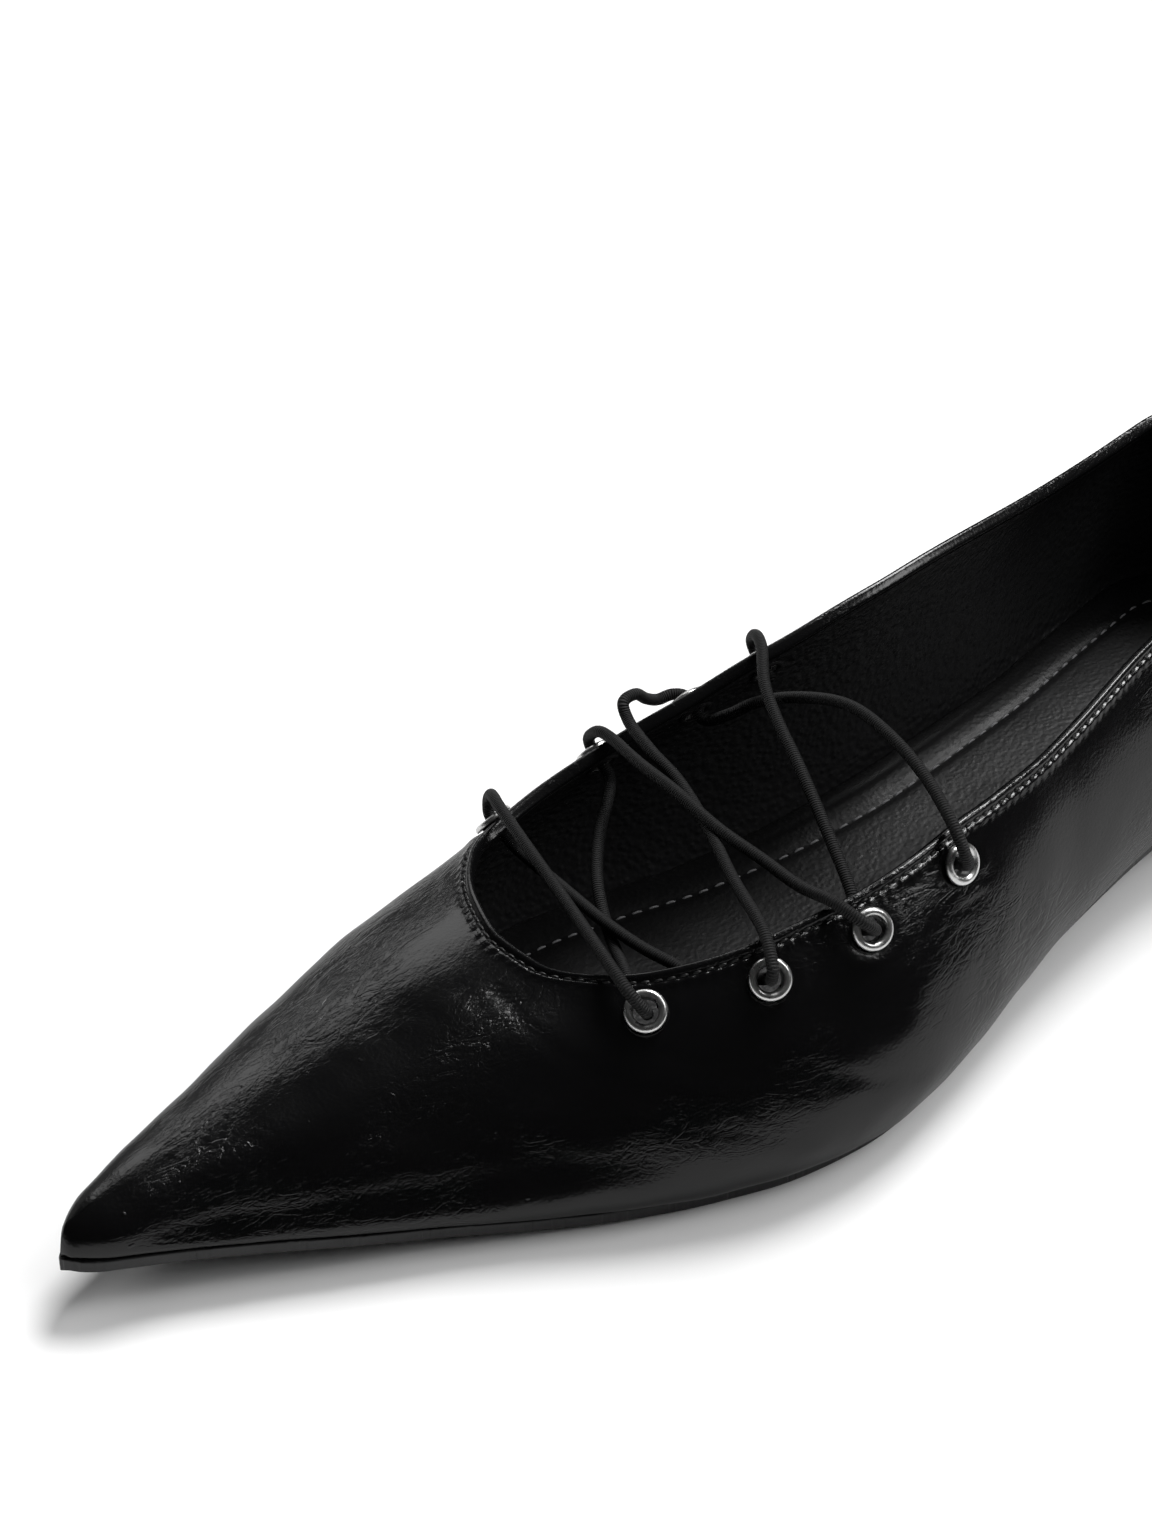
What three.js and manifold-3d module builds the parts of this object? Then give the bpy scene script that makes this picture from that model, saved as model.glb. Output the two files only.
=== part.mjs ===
// Lace-up ballet flat, left shoe: a low pointed flat with a round throat, eight metal eyelets
// and one elastic lace. X runs from the toe to the heel, the outer side of the foot is -Y, Z is up.
// All lengths are in millimetres.
import * as THREE from 'three';
import { mergeVertices } from 'three/addons/utils/BufferGeometryUtils.js';
import Module from 'manifold-3d';

const wasm = await Module();
wasm.setup();

// Driving sizes of the last
const LENGTH = 268;          // toe tip to back of heel
const BALL_WIDTH = 71;       // across the feather line, where upper meets sole
const INSTEP = 66;           // top of the last's ridge above the feather line
const TOE_SPRING = 9;        // lift of the toe tip above the ball
const HEEL_LIFT = 10.4;      // lift of the heel seat above the ball
const TOE_ROUND = 7;         // length over which the tip rounds off
const HEEL_ROUND = 27;       // length over which the heel rounds off
const TIP_TAPER = 2.4;       // how far an inner outline's tip steps back for each mm of inset
const HEEL_LEAN = 4;         // forward lean of the back edge at the collar
const TOE_LEAN = 1.2;        // backward lean of the nose
const WIDEST_UP = 0.25;      // place of the widest line round a section, feather 0 to ridge 1
const NOSE_HEIGHT = 0.35;    // share of a section's height left at the very tip
const NOSE_AT = 0.052;       // share of LENGTH over which the nose leans
const NOSE_TALL = 5;         // height at which the nose has its whole lean
const BACK_AT = 0.78;        // share of LENGTH from which the back leans
const BACK_FULL = 12;        // height of the fullest point of the back
const BACK_TALL = 33;        // height above that point with the whole lean
const TIP_REACH = 0.3;       // share of LENGTH over which inset outlines step back at the toe
const BACK_REACH = 0.22;     // the same at the heel
const SLIVER = 0.2;          // least half width of an inset outline

// Sizes of the pieces
const VAMP = 79.3;           // toe tip to the throat
const WALL = 1.8;            // leather, backer and lining together
const LASTING = 7;           // margin of the upper turned in under the insole
const LASTING_FOLD = 0.5;    // flat part of that margin beside the feather line
const FAN = 5;               // how much the wall lines near the throat swing forward
const FAN_WAY = 0.35;        // share of the collar, from the throat, where they do
const SPREAD = 1.15;         // how much rows crowd towards a round end
const RIM = 2.2;             // width of the folded rim along the collar
const RIM_RAISE = 0.5;       // how far the rim stands proud of the wall
const RIM_TOP = [0.1, 0.7];  // flat top of the rim, from and to, shares of WALL
const OUTSOLE = 2.5;         // thickness of the outsole
const SOLE_EDGE = 0.5;       // how far the outsole shows outside the feather line
const SOLE_BEVEL = 0.7;      // bevel along the outsole's lower edge
const HEEL_BREAST = 216;     // toe tip to the front face of the heel
const HEEL_INSET = 0.9;      // heel top inside the outsole's outline
const HEEL_TAPER = 1.4;      // heel foot inside the heel top
const INSOLE = 2.2;          // thickness of the padded footbed at its edge
const INSOLE_CROWN = 0.7;    // rise of the footbed along its middle
const INSOLE_START = 11;     // toe tip to the front end of the footbed
const FILLER_FADE = [3, 4];  // filler's half width where its depth starts, and over how much it grows
const FILLER_LEAST = 0.15;   // least half width of the filler, share of the footbed's
const INSOLE_EASE = 0.6;     // room between the footbed's edge and the curved wall
const FILLER_EASE = 2.5;     // room between the lasting margin and the footbed's filler
const ARCH_PAD = 3.2;        // rise of the pad under the arch
const ARCH_AT = 0.62;        // its middle, share of LENGTH
const ARCH_SPREAD = 0.13;    // its length to either side, share of LENGTH
const ARCH_FROM = 0.25;      // where it starts across the foot, 0 middle, 1 inner edge
const ARCH_CURVE = 1.5;      // power of its rise across the foot
const ARCH_EDGE = 1.4;       // rise at the inner edge for ARCH_CURVE
const EYELET_DROP = 6.4;     // collar edge to eyelet centre
const EYELET_HOLE = 2.0;     // radius of the hole in an eyelet
const EYELET_BARREL = 2.5;   // radius of its barrel
const EYELET_FLANGE = 3.5;   // radius of its front ring
const EYELET_BACK = 3.2;     // radius of its rolled back
const EYELET_DOME = 0.9;     // height of its front ring
const EYELET_ROLL = 0.4;     // height of its rolled back
const EYELET_SOFT = 0.2;     // rounding of its rings' edges
const LACE = 2;              // diameter of the elastic cord
const GAP = 0.3;             // clearance between pieces that meet
const SEAT_CURVE = 0.25;     // how far the wall curves away under an eyelet's rings

// A short table with named columns, read by smooth interpolation down its first column.
function table(names, rows) {
  const at = rows.map((row) => row[0]);
  const curves = {};
  names.forEach((name, k) => {
    const v = rows.map((row) => row[k]);
    const step = at.slice(1).map((x, i) => x - at[i]);
    const rise = step.map((h, i) => (v[i + 1] - v[i]) / h);
    const slope = v.map((_, i) => {
      if (i === 0) return endSlope(step[0], step[1], rise[0], rise[1]);
      if (i === v.length - 1) return endSlope(step[i - 1], step[i - 2], rise[i - 1], rise[i - 2]);
      if (rise[i - 1] * rise[i] <= 0) return 0;
      const a = 2 * step[i] + step[i - 1];
      const b = step[i] + 2 * step[i - 1];
      return (a + b) / (a / rise[i - 1] + b / rise[i]);
    });
    curves[name] = (x) => {
      let i = 0;
      while (i < at.length - 2 && x > at[i + 1]) i += 1;
      const q = Math.min(Math.max((x - at[i]) / step[i], 0), 1);
      return v[i] * (1 + 2 * q) * (1 - q) ** 2 + v[i + 1] * q * q * (3 - 2 * q)
        + step[i] * (slope[i] * q * (1 - q) ** 2 - slope[i + 1] * q * q * (1 - q));
    };
  });
  return curves;
}

function endSlope(h0, h1, d0, d1) {
  const s = ((2 * h0 + h1) * d0 - h0 * d1) / (h0 + h1);
  if (s * d0 <= 0) return 0;
  return d0 * d1 <= 0 && Math.abs(s) > 3 * Math.abs(d0) ? 3 * d0 : s;
}

// Sections of the last. at: share of LENGTH. half, swing and the swells outside the feather line:
// shares of BALL_WIDTH. spring: share of TOE_SPRING. lift: share of HEEL_LIFT. widest and ridge:
// heights above the feather line, shares of INSTEP.
const last = table(
  ['at', 'half', 'swing', 'swellOuter', 'swellInner', 'spring', 'lift', 'widest', 'ridge'],
  [
    [0.000, 0.028, -0.055, 0.017, 0.010, 1.00, 0.00, 0.059, 0.115],
    [0.022, 0.059, -0.049, 0.018, 0.014, 0.96, 0.00, 0.062, 0.135],
    [0.052, 0.100, -0.042, 0.021, 0.018, 0.88, 0.00, 0.071, 0.174],
    [0.101, 0.169, -0.025, 0.027, 0.024, 0.73, 0.00, 0.088, 0.247],
    [0.149, 0.242, -0.010, 0.032, 0.028, 0.55, 0.00, 0.102, 0.323],
    [0.201, 0.315, 0.007, 0.039, 0.034, 0.37, 0.00, 0.117, 0.408],
    [0.250, 0.385, 0.030, 0.048, 0.039, 0.22, 0.00, 0.133, 0.488],
    [0.299, 0.439, 0.061, 0.059, 0.045, 0.09, 0.00, 0.153, 0.556],
    [0.354, 0.476, 0.100, 0.075, 0.052, 0.00, 0.00, 0.176, 0.671],
    [0.403, 0.497, 0.132, 0.083, 0.061, 0.00, 0.00, 0.194, 0.770],
    [0.451, 0.486, 0.158, 0.087, 0.069, 0.00, 0.00, 0.212, 0.861],
    [0.500, 0.448, 0.175, 0.089, 0.073, 0.00, 0.04, 0.224, 0.944],
    [0.549, 0.401, 0.176, 0.089, 0.077, 0.00, 0.18, 0.233, 0.992],
    [0.597, 0.359, 0.165, 0.087, 0.077, 0.00, 0.36, 0.241, 1.000],
    [0.649, 0.330, 0.141, 0.082, 0.070, 0.00, 0.54, 0.248, 0.983],
    [0.750, 0.317, 0.083, 0.069, 0.055, 0.00, 0.81, 0.256, 0.903],
    [0.851, 0.346, 0.023, 0.059, 0.039, 0.00, 0.93, 0.258, 0.827],
    [0.925, 0.368, -0.011, 0.051, 0.031, 0.00, 0.98, 0.262, 0.806],
    [1.000, 0.382, -0.025, 0.038, 0.023, 0.00, 1.00, 0.268, 0.806],
  ],
);

// Collar line, one table for each side. way: share of the way from throat to back seam. reach:
// share of the length from VAMP to the heel. up: height round the section, 0 at the feather line,
// 1 on the ridge. foot: share of LENGTH where the wall's line from that point meets the sole.
const COLLAR_COLUMNS = ['way', 'reach', 'up', 'foot'];
const collar = {
  outer: table(COLLAR_COLUMNS, [
    [0 / 9, 0.000, 1.000, 0.000],
    [1 / 9, 0.006, 0.884, 0.105],
    [2 / 9, 0.037, 0.785, 0.205],
    [3 / 9, 0.100, 0.709, 0.295],
    [4 / 9, 0.207, 0.655, 0.390],
    [5 / 9, 0.343, 0.600, 0.505],
    [6 / 9, 0.483, 0.554, 0.620],
    [7 / 9, 0.642, 0.597, 0.745],
    [8 / 9, 0.878, 0.645, 0.900],
    [9 / 9, 1.000, 0.680, 1.000],
  ]),
  inner: table(COLLAR_COLUMNS, [
    [0 / 9, 0.000, 1.000, 0.000],
    [1 / 9, 0.015, 0.862, 0.105],
    [2 / 9, 0.045, 0.724, 0.205],
    [3 / 9, 0.089, 0.624, 0.295],
    [4 / 9, 0.187, 0.597, 0.390],
    [5 / 9, 0.327, 0.612, 0.505],
    [6 / 9, 0.484, 0.641, 0.620],
    [7 / 9, 0.663, 0.654, 0.745],
    [8 / 9, 0.878, 0.670, 0.900],
    [9 / 9, 1.000, 0.680, 1.000],
  ]),
};

// Eyelets from the throat back. reach: share of LENGTH of the collar point above each.
const EYELETS = {
  outer: [0.343, 0.4, 0.463, 0.533],
  inner: [0.378, 0.449, 0.509, 0.557],
};

// Feather line height over the floor at station x.
function featherHeight(x) {
  const at = x / LENGTH;
  return OUTSOLE + GAP + TOE_SPRING * last.spring(at) + HEEL_LIFT * last.lift(at);
}

// Plan rounding of the tip and the heel for an outline inset by depth.
function rounding(x, depth) {
  const tip = TIP_TAPER * depth;
  const nose = Math.min(Math.max((x - tip) / TOE_ROUND, 0), 1);
  const round = HEEL_ROUND - depth;
  const back = Math.min(Math.max((x - (LENGTH - depth - round)) / round, 0), 1);
  return { nose: Math.sqrt(1 - (1 - nose) ** 2), back: Math.sqrt(1 - back ** 2) };
}

// Point of the wall at station x, height round the section up (0 feather, WIDEST_UP widest line,
// 1 ridge) and depth inside the outer face.
function wallPoint(x, up, side, depth) {
  const at = x / LENGTH;
  const { nose, back } = rounding(x, depth);
  const swell = (side === 'outer' ? last.swellOuter(at) : last.swellInner(at)) * BALL_WIDTH;
  const foot = Math.max(last.half(at) * BALL_WIDTH - depth, SLIVER) * nose * back;
  const bulge = swell * nose * back;
  const widest = last.widest(at) * INSTEP;
  const tall = (last.ridge(at) * INSTEP - widest) * (NOSE_HEIGHT + (1 - NOSE_HEIGHT) * nose) - depth;
  const low = Math.min(up / WIDEST_UP, 1) * Math.PI / 2;
  const high = Math.max((up - WIDEST_UP) / (1 - WIDEST_UP), 0) * Math.PI / 2;
  const y = up < WIDEST_UP ? foot + bulge * Math.sin(low) : (foot + bulge) * Math.cos(high);
  const h = up < WIDEST_UP ? widest * (1 - Math.cos(low)) : widest + tall * Math.sin(high);
  const behind = Math.max((at - BACK_AT) / (1 - BACK_AT), 0) ** 2;
  const ahead = Math.max(1 - at / NOSE_AT, 0) ** 2;
  const nod = TOE_LEAN * ahead * (h / NOSE_TALL) ** 2;
  const lean = nod - HEEL_LEAN * behind * ((h - BACK_FULL) / BACK_TALL) ** 2;
  const sign = side === 'outer' ? -1 : 1;
  return new THREE.Vector3(x + lean, sign * y - last.swing(at) * BALL_WIDTH, featherHeight(x) + h);
}

// Height round the section of a point h above the feather line, below the widest line.
function upAt(x, h) {
  const widest = last.widest(x / LENGTH) * INSTEP;
  return Math.acos(Math.max(1 - h / widest, -1)) / (Math.PI / 2) * WIDEST_UP;
}

// Station on an outline inset by depth that belongs to station x of the outer face.
function insetStation(x, depth) {
  const ahead = Math.max(1 - x / (TIP_REACH * LENGTH), 0);
  const behind = Math.max(1 - (LENGTH - x) / (BACK_REACH * LENGTH), 0);
  return x + TIP_TAPER * depth * ahead ** 2 - depth * behind ** 2;
}

// Line of the wall from the feather up to the collar at way, as a function of the distance
// below the collar. It leaves the sole at its foot station and turns towards the throat.
const LINE_STEPS = 160;
function wallLine(side, way) {
  const line = collar[side];
  const foot = line.foot(way) * LENGTH;
  const top = VAMP + line.reach(way) * (LENGTH - VAMP);
  const up = line.up(way);
  const turn = 1 + FAN * Math.max(1 - way / FAN_WAY, 0) ** 2;
  const course = [];
  let run = 0;
  let before = null;
  for (let i = 0; i <= LINE_STEPS; i += 1) {
    const q = i / LINE_STEPS;
    const place = [foot + (top - foot) * q ** turn, up * (1 - (1 - q) ** turn)];
    const point = wallPoint(place[0], place[1], side, 0);
    run += before ? point.distanceTo(before) : 0;
    before = point;
    course.push([run, ...place]);
  }
  return { length: run, at: (drop) => courseAt(course, run - drop) };
}

function courseAt(course, run) {
  let i = 0;
  while (i < course.length - 2 && course[i + 1][0] < run) i += 1;
  const q = Math.min(Math.max((run - course[i][0]) / (course[i + 1][0] - course[i][0]), 0), 1);
  return [1, 2].map((k) => course[i][k] + (course[i + 1][k] - course[i][k]) * q);
}

// One closed cross-section of the upper's wall along the wall line at way.
const WALL_STEPS = 12;
const INNER_STEPS = 8;
function wallSection(side, way) {
  const line = wallLine(side, way);
  const mid = way === 0;
  const place = (x, up, depth) => {
    const p = wallPoint(insetStation(x, depth), up, side, depth);
    if (mid) p.y = -last.swing(p.x / LENGTH) * BALL_WIDTH;
    return p;
  };
  const section = [];
  const foot = line.at(line.length)[0];
  const marginEnd = place(foot, 0, LASTING);
  section.push(marginEnd);
  section.push(place(foot, 0, LASTING_FOLD));
  const wall = line.length - RIM - RIM_RAISE;
  for (let i = 0; i < WALL_STEPS; i += 1) {
    const q = (i / (WALL_STEPS - 1)) ** SPREAD;
    const [x, up] = line.at(line.length - wall * q);
    section.push(place(x, up, 0));
  }
  const rim = [
    [RIM, -RIM_RAISE],
    [RIM_RAISE, -RIM_RAISE],
    [0, WALL * RIM_TOP[0]],
    [0, WALL * RIM_TOP[1]],
    [RIM_RAISE, WALL],
  ];
  rim.forEach(([drop, depth]) => section.push(place(...line.at(drop), depth)));
  for (let i = INNER_STEPS - 1; i >= 0; i -= 1) {
    const q = (i / INNER_STEPS) ** SPREAD;
    const [x, up] = line.at(line.length - wall * q);
    const start = upAt(insetStation(x, WALL), WALL);
    section.push(place(x, start + up * (1 - start / line.at(0)[1]), WALL));
  }
  section.push(marginEnd.clone().add(new THREE.Vector3(0, 0, WALL)));
  return section;
}

// Closed solid through a list of like cross-sections, joined end to end or capped.
function loft(sections, closed) {
  const n = sections[0].length;
  const positions = sections.flat().flatMap((p) => [p.x, p.y, p.z]);
  const faces = [];
  const rows = closed ? sections.length : sections.length - 1;
  for (let i = 0; i < rows; i += 1) {
    const a = i * n;
    const b = ((i + 1) % sections.length) * n;
    for (let j = 0; j < n; j += 1) {
      const k = (j + 1) % n;
      faces.push(a + j, b + j, b + k, a + j, b + k, a + k);
    }
  }
  if (!closed) {
    const end = (sections.length - 1) * n;
    for (let j = 1; j < n - 1; j += 1) {
      faces.push(0, j, j + 1, end, end + j + 1, end + j);
    }
  }
  const geometry = new THREE.BufferGeometry();
  geometry.setAttribute('position', new THREE.Float32BufferAttribute(positions, 3));
  geometry.setIndex(faces);
  return volume(geometry) < 0 ? flipped(geometry) : geometry;
}

function volume(geometry) {
  const p = geometry.attributes.position;
  const index = geometry.index.array;
  const [a, b, c] = [new THREE.Vector3(), new THREE.Vector3(), new THREE.Vector3()];
  let sum = 0;
  for (let i = 0; i < index.length; i += 3) {
    a.fromBufferAttribute(p, index[i]);
    b.fromBufferAttribute(p, index[i + 1]);
    c.fromBufferAttribute(p, index[i + 2]);
    sum += a.dot(b.cross(c)) / 6;
  }
  return sum;
}

function flipped(geometry) {
  const index = Array.from(geometry.index.array);
  for (let i = 0; i < index.length; i += 3) {
    [index[i + 1], index[i + 2]] = [index[i + 2], index[i + 1]];
  }
  geometry.setIndex(index);
  return geometry;
}

// Solids for joining and cutting
function solid(geometry) {
  const bare = geometry.clone();
  bare.deleteAttribute('normal');
  bare.deleteAttribute('uv');
  const merged = mergeVertices(bare, 1e-4);
  return new wasm.Manifold(new wasm.Mesh({
    numProp: 3,
    vertProperties: new Float32Array(merged.attributes.position.array),
    triVerts: new Uint32Array(merged.index.array),
  }));
}

function fromSolid(body) {
  const mesh = body.getMesh();
  const geometry = new THREE.BufferGeometry();
  geometry.setAttribute('position', new THREE.BufferAttribute(new Float32Array(mesh.vertProperties), 3));
  geometry.setIndex(Array.from(mesh.triVerts));
  return geometry;
}

// Seat of an eyelet: centre on the wall's outer face and the way out of the wall.
function eyeletSeat(side, reach) {
  const share = (reach * LENGTH - VAMP) / (LENGTH - VAMP);
  let low = 0;
  let high = 1;
  for (let i = 0; i < 40; i += 1) {
    const way = (low + high) / 2;
    if (collar[side].reach(way) < share) low = way;
    else high = way;
  }
  const [x, up] = wallLine(side, low).at(EYELET_DROP);
  const centre = wallPoint(x, up, side, 0);
  const along = wallPoint(x + 1, up, side, 0).sub(wallPoint(x - 1, up, side, 0));
  const rise = wallPoint(x, up + 0.01, side, 0).sub(wallPoint(x, up - 0.01, side, 0));
  const out = along.cross(rise).normalize();
  if (side === 'outer' ? out.y > 0 : out.y < 0) out.negate();
  return { centre, out };
}

// Turns a shape made along +Y to a seat's way out.
function seated(geometry, seat) {
  const turn = new THREE.Quaternion().setFromUnitVectors(new THREE.Vector3(0, 1, 0), seat.out);
  geometry.applyQuaternion(turn);
  return geometry.translate(seat.centre.x, seat.centre.y, seat.centre.z);
}

const seats = ['outer', 'inner'].flatMap((side) => (
  EYELETS[side].map((reach, i) => ({ name: `eyelet_${side}_${i + 1}`, ...eyeletSeat(side, reach) }))
));

// Upper: one hollow wall from the lasting margin to the folded rim, open at the collar and
// underneath, with the eight eyelet holes.
const SIDE_SECTIONS = 40;
const THROAT_CLOSE = 0.12;   // step at the throat, share of an even one
const THROAT_POWER = 1.6;
function upper() {
  const ways = [];
  for (let i = 0; i <= SIDE_SECTIONS; i += 1) {
    const q = i / SIDE_SECTIONS;
    const even = THROAT_CLOSE + (1 - THROAT_CLOSE) * (1 - q ** THROAT_POWER);
    ways.push(1 - (1 - q) * even);
  }
  const outer = ways.map((way) => wallSection('outer', way));
  const inner = ways.slice(1, -1).reverse().map((way) => wallSection('inner', way));
  let body = solid(loft([...outer, ...inner], true));
  seats.forEach((seat) => {
    const hole = new THREE.CylinderGeometry(EYELET_BARREL + GAP, EYELET_BARREL + GAP, 8, 16);
    body = body.subtract(solid(seated(hole, seat)));
  });
  return fromSolid(body);
}

// Eyelet: a ring with a domed front, a barrel through the wall and a rolled back, turned
// about its own axis.
function eyelet(seat) {
  const front = GAP + SEAT_CURVE;
  const back = -(WALL + front);
  const mid = (EYELET_HOLE + EYELET_FLANGE) / 2;
  const profile = [
    [EYELET_HOLE, back],
    [EYELET_HOLE + EYELET_SOFT, back - EYELET_ROLL],
    [EYELET_BACK - EYELET_SOFT, back - EYELET_ROLL],
    [EYELET_BACK, back],
    [EYELET_BARREL, back],
    [EYELET_BARREL, front],
    [EYELET_FLANGE, front],
    [EYELET_FLANGE - EYELET_SOFT, front + 0.5 * EYELET_DOME],
    [mid, front + EYELET_DOME],
    [EYELET_HOLE, front + 0.4 * EYELET_DOME],
    [EYELET_HOLE, back],
  ].map(([r, z]) => new THREE.Vector2(r, z));
  return seated(closedLathe(profile), seat);
}

function closedLathe(profile) {
  const geometry = new THREE.LatheGeometry(profile, 16);
  geometry.deleteAttribute('normal');
  geometry.deleteAttribute('uv');
  const merged = mergeVertices(geometry, 1e-4);
  return volume(merged) < 0 ? flipped(merged) : merged;
}

// Stations for the rows of a flat piece, closer at the round tip and heel.
function stations(from, to, count) {
  const list = [];
  for (let i = 0; i <= count; i += 1) {
    const q = i / count;
    list.push(from + (to - from) * (0.5 - 0.5 * Math.cos(Math.PI * q)) ** SPREAD);
  }
  return list;
}

// Half width and middle of an outline inset by depth, h above the feather line.
function outline(x, depth, h) {
  const station = insetStation(x, depth);
  const up = h > 0 ? upAt(station, h) : 0;
  const outer = wallPoint(station, up, 'outer', depth);
  const inner = wallPoint(station, up, 'inner', depth);
  return { x: outer.x, low: outer.y, high: inner.y };
}

// Outsole: a thin plate under the whole upper, bevelled below, with toe spring and arch.
function outsole() {
  const rows = stations(0.15, LENGTH - 0.1, 52).map((x) => {
    const edge = outline(x, -SOLE_EDGE, 0);
    const top = featherHeight(edge.x) - GAP;
    const low = top - OUTSOLE;
    const bevel = Math.min(SOLE_BEVEL, (edge.high - edge.low) / 4);
    return [
      [edge.low, top], [edge.low, low + bevel], [edge.low + bevel, low],
      [edge.high - bevel, low], [edge.high, low + bevel], [edge.high, top],
    ].map(([y, z]) => new THREE.Vector3(edge.x, y, z));
  });
  return loft(rows, false);
}

// Heel: a low block under the heel seat, its sides tapering to the floor.
function heel() {
  const rows = stations(HEEL_BREAST, LENGTH - 0.1, 14).map((x) => {
    const head = outline(x, HEEL_INSET - SOLE_EDGE, 0);
    const foot = outline(x, HEEL_INSET + HEEL_TAPER - SOLE_EDGE, 0);
    const top = featherHeight(head.x) - OUTSOLE - 2 * GAP;
    return [
      [head.x, head.low, top], [foot.x, foot.low, 0],
      [foot.x, foot.high, 0], [head.x, head.high, top],
    ].map(([px, y, z]) => new THREE.Vector3(px, y, z));
  });
  return loft(rows, false);
}

// Insole: the padded footbed, lying on the lasting margin and filling the space inside it,
// crowned along its middle, with a pad under the arch on the inner side.
function insole() {
  const lift = WALL + GAP;
  const clear = lift + INSOLE_EASE;
  const across = [-1, -0.75, -0.5, -0.25, 0, 0.25, 0.5, 0.75, 1];
  const rows = stations(INSOLE_START, LENGTH - 2 * INSOLE_EASE, 40).map((x) => {
    const bottom = outline(x, clear, lift);
    const top = outline(x, clear, lift + INSOLE);
    const floor = featherHeight(bottom.x);
    const low = wallPoint(bottom.x, 0, 'outer', LASTING + FILLER_EASE).y;
    const high = wallPoint(bottom.x, 0, 'inner', LASTING + FILLER_EASE).y;
    const half = (bottom.high - bottom.low) / 2;
    const middle = (high + low) / 2;
    const inside = Math.max((high - low) / 2, FILLER_LEAST * half);
    const sink = WALL * Math.min(Math.max((inside - FILLER_FADE[0]) / FILLER_FADE[1], 0), 1);
    const arch = ARCH_PAD * Math.exp(-(((bottom.x / LENGTH - ARCH_AT) / ARCH_SPREAD) ** 2));
    const surface = across.map((q) => {
      const y = (top.low + top.high) / 2 + q * (top.high - top.low) / 2;
      const pad = arch * ARCH_EDGE * Math.max(q - ARCH_FROM, 0) ** ARCH_CURVE;
      return [y, floor + lift + INSOLE + INSOLE_CROWN * (1 - q * q) + pad];
    });
    const under = [
      [bottom.high, floor + lift], [middle + inside, floor + lift],
      [middle + inside, floor + lift - sink], [middle - inside, floor + lift - sink],
      [middle - inside, floor + lift], [bottom.low, floor + lift],
    ];
    return [...surface, ...under].map(([y, z]) => new THREE.Vector3(bottom.x, y, z));
  });
  return loft(rows, false);
}

// Lace: one round elastic cord through the eight eyelets, its hidden ends just inside the two
// rearmost. The route of its middle, from toe tip, foot's middle and floor.
const LACE_ROUTE = [
  // end inside eyelet_outer_4, out over the rim
  [141.7, -38.7, 45.4], [141.8, -41.3, 46.8], [142.0, -43.7, 48.0], [141.2, -43.9, 50.5],
  [140.9, -42.3, 53.5], [141.4, -39.0, 55.7],
  // arch to eyelet_inner_3
  [143.0, -32.1, 57.7], [144.0, -22.7, 59.6], [144.3, -12.0, 59.3], [142.1, -2.6, 56.2],
  [139.6, 5.0, 51.7], [137.5, 9.4, 47.5], [136.3, 14.2, 44.0], [135.7, 16.7, 45.3],
  [135.8, 18.9, 46.4],
  // loop over the rim
  [134.3, 20.3, 46.6], [131.7, 20.9, 46.4], [128.8, 20.4, 48.3], [125.7, 19.6, 51.2],
  [122.4, 18.6, 51.6], [121.6, 16.4, 49.9],
  // down to eyelet_outer_2
  [119.8, 8.2, 49.4], [119.0, 0.2, 48.7], [115.7, -11.1, 48.1], [110.9, -23.3, 47.8],
  [106.6, -36.2, 47.2], [104.7, -40.4, 44.2], [104.9, -40.0, 41.7], [106.0, -38.2, 39.9],
  [106.9, -36.6, 38.3],
  // inside to eyelet_inner_1
  [101.4, -28.5, 35.3], [99.6, -22.2, 35.5], [98.6, -15.9, 35.0], [98.0, -7.2, 34.7],
  [99.1, 4.3, 33.1], [100.3, 20.5, 31.8], [99.8, 23.0, 33.7], [99.4, 25.0, 35.2],
  // loop over the rim
  [99.6, 25.6, 37.8], [99.2, 24.4, 40.1], [98.0, 21.9, 41.7], [97.0, 19.3, 42.2],
  // straight to eyelet_outer_1
  [95.2, 12.4, 42.4], [91.3, -4.7, 42.1], [86.3, -24.4, 42.4], [86.0, -28.6, 41.0],
  [87.3, -30.6, 38.2], [88.8, -29.1, 36.1], [90.0, -27.9, 34.2],
  // inside to eyelet_inner_2
  [92.6, -21.5, 32.8], [94.6, -16.3, 33.1], [99.2, -6.4, 32.5], [103.4, 1.4, 34.5],
  [110.1, 9.3, 35.7], [119.4, 18.3, 37.6], [119.3, 21.0, 39.5], [119.3, 23.2, 40.9],
  // hook over the rim
  [119.3, 23.8, 42.3], [119.1, 22.4, 44.5], [118.9, 20.3, 46.2], [118.8, 17.6, 46.8],
  // straight to eyelet_outer_3
  [117.3, 7.7, 48.1], [116.4, -2.2, 49.3], [115.8, -14.1, 49.3], [116.7, -23.7, 48.9],
  [117.1, -32.2, 48.9], [118.0, -38.9, 49.8], [119.9, -43.7, 48.0], [122.3, -44.3, 45.4],
  [123.0, -42.0, 43.6], [123.5, -39.9, 42.1],
  // inside and up over the inner rim
  [125.9, -34.4, 45.0], [129.6, -23.7, 49.2], [133.3, -12.9, 52.8], [136.7, -3.1, 55.1],
  [139.8, 3.4, 56.4], [145.4, 10.8, 56.9],
  // down into eyelet_inner_4
  [147.2, 13.9, 56.4], [148.6, 16.6, 54.4], [149.0, 17.4, 52.4], [148.8, 15.7, 50.5],
  [148.6, 13.3, 49.3], [148.4, 11.0, 48.2],
];

class Route extends THREE.CatmullRomCurve3 {
  // Steps follow the route's points, which lie closer in its bends.
  getPointAt(u, target) {
    return this.getPoint(u, target);
  }

  getTangentAt(u, target) {
    return this.getTangent(u, target);
  }
}

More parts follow.
